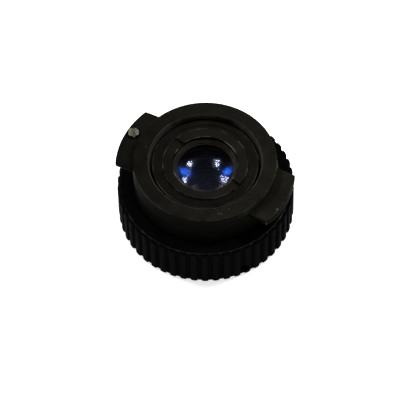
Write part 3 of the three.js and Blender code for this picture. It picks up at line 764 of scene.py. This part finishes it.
def bayonet_body(body_finish, thread_finish, wing_finish):
    """Spigot, wings, barrel and skirt in one piece."""
    body_slot, thread_slot, wing_slot = range(3)
    thread = []
    for turn in range(MOUTH_THREAD_TURNS):
        z = FACE - MOUTH_THREAD_START - turn * MOUTH_THREAD_PITCH
        thread += [
            (BORE_RADIUS, z, 0.10),
            (BORE_RADIUS + MOUTH_THREAD_DEPTH, z - MOUTH_THREAD_PITCH / 2, 0.05, 0.0),
        ]
    bottom = low("bayonet_body")
    outline = [
        (RELIEF_RADIUS, bottom, 0.1),
        (SKIRT_THREAD_RADIUS, bottom, 0.15),
        (SKIRT_THREAD_RADIUS, SKIRT_THREAD_TOP, 0),
        (JOURNAL_RADIUS, SKIRT_THREAD_TOP, 0.1),
        (JOURNAL_RADIUS, SHOULDER, 0),
        (BARREL_RADIUS, SHOULDER, 0.1),
        (BARREL_RADIUS, WING_TOP - SPIGOT_SLOPE, 0.10, 0.0),
        (SPIGOT_RADIUS, WING_TOP - 0.02, 0.10, 0.0),
        (SPIGOT_RADIUS, FACE, 0.15, 0.6),
        (BORE_RADIUS + MOUTH_CHAMFER, FACE, 0.06, 0.8),
        *thread,
        (BORE_RADIUS, BORE_STEP, 0.05),
        (GUIDE_RADIUS, BORE_STEP, 0.05),
        (GUIDE_RADIUS, RELIEF_TOP, 0.1),
        (RELIEF_RADIUS, RELIEF_TOP, 0),
    ]
    body = lathe("body_shell", outline)
    boolean(body, [wing(*place) for place in WINGS], "UNION")
    foot = Vector((STOP_SCREW.x, STOP_SCREW.y, WING_TOP))
    key_start, key_end = (polar(r, KEY_ANGLE, KEY_HEIGHT) for r in KEY_HOLE_ENDS)
    tools = [
        rod("screw_hole", STOP_SCREW_HOLE, above(foot, -2 * WING_THICKNESS), above(foot, THROUGH)),
        rod("screw_seat", STOP_SCREW_SEAT, above(foot, -STOP_SCREW_SEAT_DEPTH), above(foot, THROUGH)),
        rod("key_hole", KEY_HOLE, key_start, key_end),
    ]
    boolean(body, tools, "DIFFERENCE")
    wear_wings(body.data)
    smooth(body)
    show(body, "bayonet", "black_anodised", [body_finish, thread_finish, wing_finish], "bayonet_body")
    # A face's middle lies a little inside the radius of its corners.
    for face in body.data.polygons:
        spot = face.center / MM
        face.material_index = body_slot
        # The bore's mouth takes the thread finish, whose paler base is painted light.
        if spot.xy.length < BORE_RADIUS + MOUTH_CHAMFER and spot.z > BORE_STEP - 0.1:
            face.material_index = thread_slot
        elif spot.xy.length > WING_RADIUS - 0.3 and abs(face.normal.z) < 0.8:
            face.material_index = wing_slot
    return body


def slotted_screw(name, material):
    """Cheese-head stop screw with a slightly domed face and a straight slot."""
    foot = WING_TOP - STOP_SCREW_SEAT_DEPTH + 0.02
    bottom, top = low("stop_screw"), high("stop_screw")
    outline = [
        (0, bottom, 0),
        (STOP_SCREW_SHANK, bottom, 0.1),
        (STOP_SCREW_SHANK, foot, 0),
        (STOP_SCREW_RADIUS, foot, 0.03),
        (STOP_SCREW_RADIUS, top - 0.06, 0.16),
        (0.55, top, 0.2),
        (0, top, 0),
    ]
    screw = lathe(name, outline, SMALL)
    size = (SLOT_LENGTH, STOP_SCREW_SLOT_WIDTH, 2 * STOP_SCREW_SLOT_DEPTH)
    boolean(screw, [block("screw_slot", size, (0, 0, top), STOP_SCREW_SLOT_ANGLE)], "DIFFERENCE")
    screw.data.transform(Matrix.Translation(Vector((STOP_SCREW.x, STOP_SCREW.y, 0)) * MM))
    smooth(screw)
    return show(screw, "bayonet", "steel", material, "stop_screw")


def radial_screw(name, node, body, radius, ends, angle, height, material):
    """Slotted set screw lying along a radius, with thread grooves on its shank."""
    inner, outer = ends
    length = outer - inner
    outline = [(0, 0, 0), (radius * SET_SCREW_POINT, 0, 0), (radius, SET_SCREW_TIP, 0)]
    for turn in range(int((length - SET_SCREW_PITCH) / SET_SCREW_PITCH)):
        z = SET_SCREW_TIP + 0.05 + turn * SET_SCREW_PITCH
        outline += [(radius, z, 0), (radius * SET_SCREW_GROOVE, z + SET_SCREW_PITCH / 2, 0)]
    outline += [(radius, length, 0.06), (0, length, 0)]
    screw = lathe(name, outline, SMALL)
    size = (SLOT_LENGTH, radius * SET_SCREW_SLOT_WIDTH, 2 * SET_SCREW_SLOT_DEPTH)
    boolean(screw, [block("set_slot", size, (0, 0, length))], "DIFFERENCE")
    turn = polar(1, angle, 0).to_track_quat("Z", "Y").to_matrix().to_4x4()
    screw.data.transform(Matrix.Translation(polar(inner, angle, height) * MM) @ turn)
    smooth(screw)
    return show(screw, body, "steel", material, node)


# ---------------------------- focusing ring

def grub_holes(name, radius, ends):
    """Cutting tools for the radial holes of the set screws."""
    inner, outer = ends
    return [rod(name, radius, polar(inner, angle, GRUB_HEIGHT), polar(outer, angle, GRUB_HEIGHT))
            for angle in GRUB_ANGLES]


def focus_ring(material):
    """Focusing ring: two lips that hold the grip, and a ledge, a pocket and a seal groove inside."""
    ledge_bottom, ledge_top, journal = 5.1, 7.3, 14.1
    pocket, land = 15.2, 14.85
    seal, seal_bottom, seal_top = 15.6, 8.2, 9.2
    seat = 16.7
    outline = [
        (pocket, 0, 0.25),
        (RING_RADIUS, 0, 0.18),
        (RING_RADIUS, LOWER_LIP, 0.05, 0.0),
        (seat, LOWER_LIP, 0),
        (seat, RING_TOP - UPPER_LIP, 0),
        (RING_RADIUS, RING_TOP - UPPER_LIP, 0.05, 0.0),
        (RING_RADIUS, RING_TOP, 0.15),
        (land, RING_TOP, 0.10, 0.0),
        (land, seal_top, 0),
        (seal, seal_top, 0),
        (seal, seal_bottom, 0),
        (land, seal_bottom, 0),
        (land, ledge_top, 0),
        (journal, ledge_top, 0.1),
        (journal, ledge_bottom, 0.1),
        (pocket, ledge_bottom, 0),
    ]
    ring = lathe("ring_shell", outline)
    boolean(ring, grub_holes("grub_hole", GRUB_HOLE, GRUB_HOLE_ENDS), "DIFFERENCE")
    smooth(ring)
    return show(ring, "focusing_ring", "black_anodised", material, "focus_ring")


def rib_rise(share):
    """Height of the grip above its flutes, 0 to 1, across one rib's pitch from -0.5 to 0.5."""
    across = abs(share)
    if across <= RIB_CREST:
        return 1 - RIB_CROWN * (across / RIB_CREST) ** 2
    if across >= RIB_FOOT:
        return 0.0
    return (1 - RIB_CROWN) * 0.5 * (1 + cos(pi * (across - RIB_CREST) / (RIB_FOOT - RIB_CREST)))


def grip_sleeve(material):
    """Ribbed sleeve; the ribs' ends are rounded towards the ring's lips."""
    bottom, top = low("grip_sleeve"), high("grip_sleeve")
    proud = GRIP_RADIUS - RING_RADIUS
    levels = [(bottom + d, share) for d, share in RIB_ENDS]
    levels += [(top - d, share) for d, share in reversed(RIB_ENDS)]
    bm = bmesh.new()
    wear = bm.verts.layers.float.new(EDGE)
    columns = []
    for rib in range(RIB_COUNT):
        for step in range(RIB_STEPS):
            share = step / RIB_STEPS - 0.5
            angle = degrees(TURN * (rib + share) / RIB_COUNT + radians(RIB_PHASE))
            rise = rib_rise(share)
            column = [bm.verts.new(polar(GRIP_BORE, angle, bottom))]
            for z, ease in levels:
                vertex = bm.verts.new(polar(RING_RADIUS + proud * rise * ease, angle, z))
                vertex[wear] = rise ** 2
                column.append(vertex)
            column.append(bm.verts.new(polar(GRIP_BORE, angle, top)))
            columns.append(column)
    for here, there in zip(columns, columns[1:] + columns[:1]):
        for i in range(len(here)):
            j = (i + 1) % len(here)
            bm.faces.new((here[i], there[i], there[j], here[j]))
    bmesh.ops.recalc_face_normals(bm, faces=bm.faces)
    grip = piece_from(bm, "ribbed_grip_sleeve")
    boolean(grip, grub_holes("grub_access", GRUB_ACCESS, GRUB_ACCESS_ENDS), "DIFFERENCE")
    smooth(grip, 40)
    return show(grip, "focusing_ring", "grip", material, "grip_sleeve")


def helicoid_nut(metal, blackened):
    """Nut of the helicoid, turned without its helical thread; the face of its disc on the eye side is
    blackened.
    """
    bottom, top, outer = low("helicoid_nut"), high("helicoid_nut"), reach("helicoid_nut")
    bore = HELICOID_RADIUS + 0.1
    hub, disc_top = 11.2, 3.1
    outline = [
        (bore, bottom, 0.2),
        (outer, bottom, 0.15),
        (outer, disc_top, 0.1),
        (hub, disc_top, 0),
        (hub, top, 0.15),
        (bore, top, 0.15),
    ]
    nut = lathe("brass_nut", outline)
    smooth(nut)
    show(nut, "focusing_ring", "brass", [metal, blackened], "helicoid_nut")
    for face in nut.data.polygons:
        face.material_index = 1 if face.center.z / MM < bottom + 0.2 else 0
    return nut


# ---------------------------- lens barrel and its rings

def lens_barrel(barrel_finish, wall_finish):
    """Sleeve that holds both doublets, with a keyway and a shallow rebate in its upper face."""
    bottom = low("lens_barrel")
    rebate, rebate_depth = 9.6, 0.14
    ring_bore, ring_seat = 8.75, 15.65
    field_bore, field_bottom = 7.6, 7.5
    eye_bore, eye_seat, eye_aperture = 6.0, 3.3, 4.9
    bezel_bore, bezel_top = 8.5, 3.6
    shoulder = 9.3
    outline = [
        (eye_aperture, bottom, 0),
        (bezel_bore, bottom, 0.1),
        (bezel_bore, bezel_top, 0),
        (HELICOID_RADIUS, bezel_top, 0.1),
        (HELICOID_RADIUS, shoulder, 0),
        (LENS_BARREL_RADIUS, shoulder, 0.1),
        (LENS_BARREL_RADIUS, LENS_BARREL_TOP, 0.16),
        (rebate, LENS_BARREL_TOP, 0.05, 0.5),
        (rebate, LENS_BARREL_TOP - rebate_depth, 0),
        (ring_bore, LENS_BARREL_TOP - rebate_depth, 0.05),
        (ring_bore, ring_seat, 0),
        (field_bore, ring_seat, 0),
        (field_bore, field_bottom, 0),
        (eye_bore, field_bottom, 0),
        (eye_bore, eye_seat, 0),
        (eye_aperture, eye_seat, 0),
    ]
    barrel = lathe("lens_tube", outline)
    keyway = block("keyway", (1.4, 1.4, 2.8), (0, LENS_BARREL_RADIUS, KEY_HEIGHT))
    boolean(barrel, [keyway], "DIFFERENCE")
    smooth(barrel)
    show(barrel, "lens_group", "black_anodised", [barrel_finish, wall_finish], "lens_barrel")
    for face in barrel.data.polygons:
        spot = face.center / MM
        # The barrel's wall in the gap takes the thread finish, whose paler base is painted light.
        in_gap = spot.xy.length > LENS_BARREL_RADIUS - 0.05 and spot.z > BORE_STEP
        face.material_index = 1 if in_gap else 0
    return barrel


def retaining_ring(material):
    """Ring that holds the field lens, with a spanner slot on each side."""
    bottom = low("field_retaining_ring")
    outline = [
        (RETAINING_BORE, bottom, 0),
        (RETAINING_RADIUS, bottom, 0),
        (RETAINING_RADIUS, RETAINING_TOP, 0.08),
        (RETAINING_BORE, RETAINING_TOP, 0.14),
    ]
    ring = lathe("slotted_ring", outline)
    size = (2 * (RETAINING_RADIUS + THROUGH), SPANNER_SLOT_WIDTH, 2 * SPANNER_SLOT_DEPTH)
    slot = block("spanner_slot", size, (0, 0, RETAINING_TOP), SPANNER_SLOT_ANGLE)
    boolean(ring, [slot], "DIFFERENCE")
    smooth(ring)
    return show(ring, "lens_group", "black_anodised", material, "field_retaining_ring")


def sag(curvature, r):
    """Drop of a spherical surface at radius r."""
    return curvature - sqrt(curvature ** 2 - r ** 2)


def surface(form, rim, offset=0.0):
    """Outline points of a spherical surface from the axis to its rim, moved along the axis by an offset."""
    vertex, curvature, direction = form
    places = [rim * i / GLASS_STEPS for i in range(GLASS_STEPS + 1)]
    return [(r, vertex + offset - direction * sag(curvature, r), 0) for r in places]


def lens(name, lower, upper, slot_name, materials, node):
    """A lens with its own material above, below and round its rim."""
    above_slot, below_slot, rim_slot = range(3)
    glass = lathe(name, lower + upper[::-1], GLASS_FACETS)
    smooth(glass, 50)
    show(glass, "lens_group", slot_name, materials, node)
    for face in glass.data.polygons:
        if abs(face.normal.z) < 0.1:
            face.material_index = rim_slot
        else:
            face.material_index = above_slot if face.normal.z > 0 else below_slot
    return glass


def clamp_ring(material):
    """Ledge round the field lens, with three fine steps in its bore."""
    top = high("field_clamp_ring")
    outer = reach("field_clamp_ring")
    vertex, curvature, _ = FIELD_FRONT
    vertex += LENS_SEAT_GAP
    outline = [
        (FIELD_APERTURE, vertex - sag(curvature, FIELD_APERTURE), 0),
        (outer, vertex - sag(curvature, FLINT_RADIUS), 0),
        (outer, top, 0.03, 0.0),
        (6.25, top, 0.04, 0.7),
        (6.15, top - 0.22, 0.03, 0.0),
        (5.95, top - 0.26, 0.03, 0.5),
        (5.9, top - 0.55, 0.03, 0.0),
        (FIELD_APERTURE, top - 0.6, 0.03, 0.5),
    ]
    ring = lathe("clamp_ledge", outline, MEDIUM)
    smooth(ring)
    return show(ring, "lens_group", "black_matt", material, "field_clamp_ring")


def plain_ring(name, node, inner, body, slot_name, material, rounding=0.08):
    """A turned ring of rectangular section that fills its node's height."""
    outer, bottom, top = reach(node), low(node), high(node)
    corners = [(inner, bottom), (outer, bottom), (outer, top), (inner, top)]
    ring = lathe(name, [(*corner, rounding) for corner in corners], MEDIUM)
    smooth(ring)
    return show(ring, body, slot_name, material, node)


def lens_spacer(material):
    """Tube between the doublets, cut to seat on both, with a bevelled mouth."""
    bore, mouth, outer, neck = 5.2, 6.3, 7.5, 5.9
    outline = [
        (bore, 6.8, 0.05),
        (neck, 6.6, 0.05),
        (neck, 7.6, 0),
        (outer, 7.6, 0.05),
        (outer, 11.1, 0.05, 0.0),
        (mouth, 10.5, 0.12),
        (bore, 7.9, 0.05, 0.0),
    ]
    spacer = lathe("spacer_tube", outline, GLASS_FACETS)
    smooth(spacer)
    return show(spacer, "lens_group", "black_matt", material, "lens_spacer")


def eye_bezel(material):
    """Dished cap round the eye lens."""
    bottom, rim = low("eye_bezel"), reach("eye_bezel")
    rim_top, inner, web_top = 3.3, 8.6, 2.1
    aperture = 4.9
    outline = [
        (8.8, bottom, 0.12),
        (rim, bottom, 0.15),
        (rim, rim_top, 0.05),
        (inner, rim_top, 0.05),
        (inner, web_top, 0),
        (aperture, web_top, 0.05),
        (aperture, web_top - 0.25, 0.06),
    ]
    bezel = lathe("eye_cap", outline)
    smooth(bezel)
    return show(bezel, "lens_group", "black_anodised", material, "eye_bezel")


# ---------------------------- putting the pieces together

def build():
    paint = finishes()
    steel, matt, ground = paint["steel"], paint["matt"], paint["ground"]
    front_glass, back_glass, cemented = paint["front_glass"], paint["back_glass"], paint["cemented"]

    bayonet_body(paint["body"], paint["thread"], paint["wing_edge"])
    slotted_screw("slotted_stop_screw", steel)
    radial_screw("slotted_key_screw", "key_screw", "bayonet", KEY_RADIUS, KEY_ENDS, KEY_ANGLE, KEY_HEIGHT,
                 steel)
    plain_ring("keeper", "keeper_ring", 13.5, "bayonet", "black_matt", matt)
    plain_ring("washer", "friction_washer", 14.1, "bayonet", "steel", steel, 0.05)

    focus_ring(paint["ring"])
    grip_sleeve(paint["grip"])
    helicoid_nut(paint["brass"], matt)
    plain_ring("seal_ring", "felt_seal", 14.8, "focusing_ring", "felt", paint["felt"], 0.15)
    for node, angle in zip(GRUB_SCREWS, GRUB_ANGLES):
        radial_screw("set_" + node, node, "focusing_ring", GRUB_RADIUS, GRUB_ENDS, angle, GRUB_HEIGHT,
                     steel)

    lens_barrel(paint["barrel"], paint["thread"])
    retaining_ring(paint["inner"])
    clamp_ring(paint["bevel"])
    lens_spacer(paint["spacer"])
    eye_bezel(paint["ring"])
    lens("front_flint", surface(FIELD_CEMENTED, FLINT_RADIUS, CEMENT), surface(FIELD_FRONT, FLINT_RADIUS),
         "coated_glass", [front_glass, cemented, ground], "field_flint")
    lens("field_crown_lens", surface(FIELD_BACK, CROWN_RADIUS), surface(FIELD_CEMENTED, CROWN_RADIUS),
         "glass", [cemented, back_glass, ground], "field_crown")
    lens("eye_crown_lens", surface(EYE_CEMENTED, EYE_GLASS_RADIUS), surface(EYE_FRONT, EYE_GLASS_RADIUS),
         "glass", [back_glass, cemented, ground], "eye_crown")
    lens("eye_flint_lens", [(0, EYE_BACK_HEIGHT, 0), (EYE_GLASS_RADIUS, EYE_BACK_HEIGHT, 0)],
         surface(EYE_CEMENTED, EYE_GLASS_RADIUS, -CEMENT),
         "coated_glass", [cemented, front_glass, ground], "eye_flint")

    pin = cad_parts["travel_stop_pin"]
    pin.data.materials.clear()
    pin.data.materials.append(steel)


def light_table():
    bm = bmesh.new()
    bmesh.ops.create_grid(bm, x_segments=8, y_segments=8, size=FLOOR_SIZE)
    floor = piece_from(bm, "floor")
    floor.data.materials.append(pale_floor())


def surroundings():
    """Soft light from all round, with a white wall along the horizon."""
    world = bpy.data.worlds.new("studio")
    world.use_nodes = True
    nodes, links = world.node_tree.nodes, world.node_tree.links
    nodes["Background"].inputs["Color"].default_value = (1.0, 1.0, 1.0, 1.0)
    direction = nodes.new("ShaderNodeSeparateXYZ")
    links.new(nodes.new("ShaderNodeTexCoord").outputs["Generated"], direction.inputs[0])
    strength = nodes.new("ShaderNodeMapRange")
    links.new(direction.outputs[2], strength.inputs[0])
    for place, value in enumerate((*HORIZON_BAND, HORIZON, WORLD), start=1):
        strength.inputs[place].default_value = value
    links.new(strength.outputs[0], nodes["Background"].inputs["Strength"])
    bpy.context.scene.world = world


def softbox(name, direction, width, height, power):
    """A soft light that faces the object, with its width along the X axis."""
    lamp = bpy.data.lights.new(name, "AREA")
    lamp.shape = "RECTANGLE"
    lamp.size = width
    lamp.size_y = height
    lamp.energy = power
    holder = bpy.data.objects.new(name, lamp)
    toward = Vector(direction).normalized()
    across = Vector((1, 0, 0)) - toward * toward.x
    across.normalize()
    turn = Matrix((across, toward.cross(across), toward)).transposed().to_4x4()
    holder.matrix_world = Matrix.Translation(toward * LIGHT_DISTANCE) @ turn
    bpy.context.scene.collection.objects.link(holder)


def camera():
    data = bpy.data.cameras.new("camera")
    data.sensor_width = 36.0
    data.lens = CAMERA_LENS
    holder = bpy.data.objects.new("camera", data)
    bpy.context.scene.collection.objects.link(holder)
    rise = radians(CAMERA_ELEVATION)
    place = Matrix.Translation((0, -CAMERA_DISTANCE * cos(rise), CAMERA_DISTANCE * sin(rise)))
    tilt, yaw, roll = (radians(a) for a in CAMERA_TRIM)
    turn = (Matrix.Rotation(radians(90) - rise + tilt, 4, "X") @ Matrix.Rotation(yaw, 4, "Y")
            @ Matrix.Rotation(roll, 4, "Z"))
    holder.matrix_world = place @ turn
    bpy.context.scene.camera = holder


build()
light_table()
surroundings()
for box in SOFTBOXES:
    softbox(*box)
camera()
bpy.context.scene.view_settings.view_transform = "Standard"
